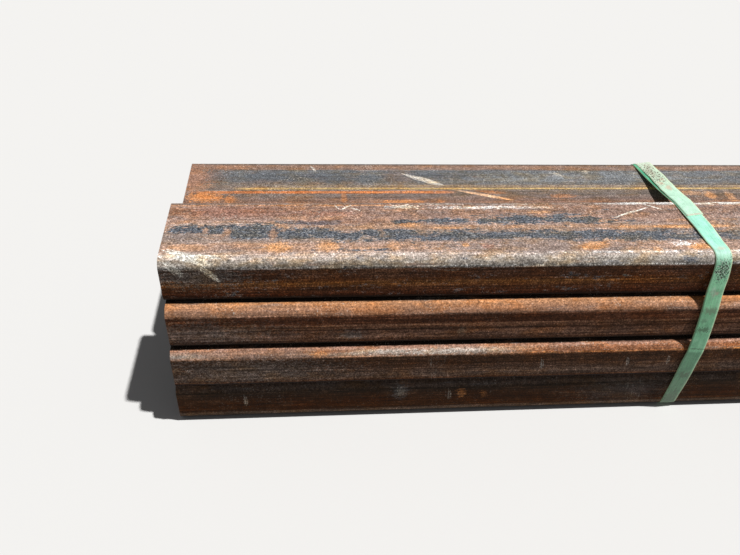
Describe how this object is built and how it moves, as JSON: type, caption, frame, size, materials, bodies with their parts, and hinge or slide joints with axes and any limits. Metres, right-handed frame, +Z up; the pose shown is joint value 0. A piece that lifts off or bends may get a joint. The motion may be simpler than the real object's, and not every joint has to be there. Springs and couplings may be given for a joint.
{
  "type": "stack of rectangular steel tubing",
  "caption": "Strapped bundle of rusty rectangular steel tubes, laid flat in side-by-side columns and held by crimped painted steel bands.",
  "frame": {"origin": "middle of the bounding box's underside, on the surface that the bundle lies on", "axes": "+X along the tubes towards the end away from the nearer band, +Y from the near column to the far one, +Z up"},
  "size_m": [6.107, 0.3408, 0.3077],
  "materials": {
    "rusted_steel": "rusted hot-rolled steel with patches of blue-grey mill scale",
    "painted_strapping": "green paint, scuffed and rust-marked",
    "seal_steel": "dull zinc-coated"
  },
  "bodies": {
    "root": {"near_tube_top": "rusted_steel", "near_tube_second": "rusted_steel", "near_tube_third": "rusted_steel", "near_tube_bottom": "rusted_steel", "far_tube_top": "rusted_steel", "far_tube_second": "rusted_steel", "far_tube_third": "rusted_steel", "far_tube_bottom": "rusted_steel", "left_strap": "painted_strapping", "middle_strap": "painted_strapping", "right_strap": "painted_strapping", "left_strap_seal": "seal_steel", "middle_strap_seal": "seal_steel", "right_strap_seal": "seal_steel"}
  },
  "joints": []
}
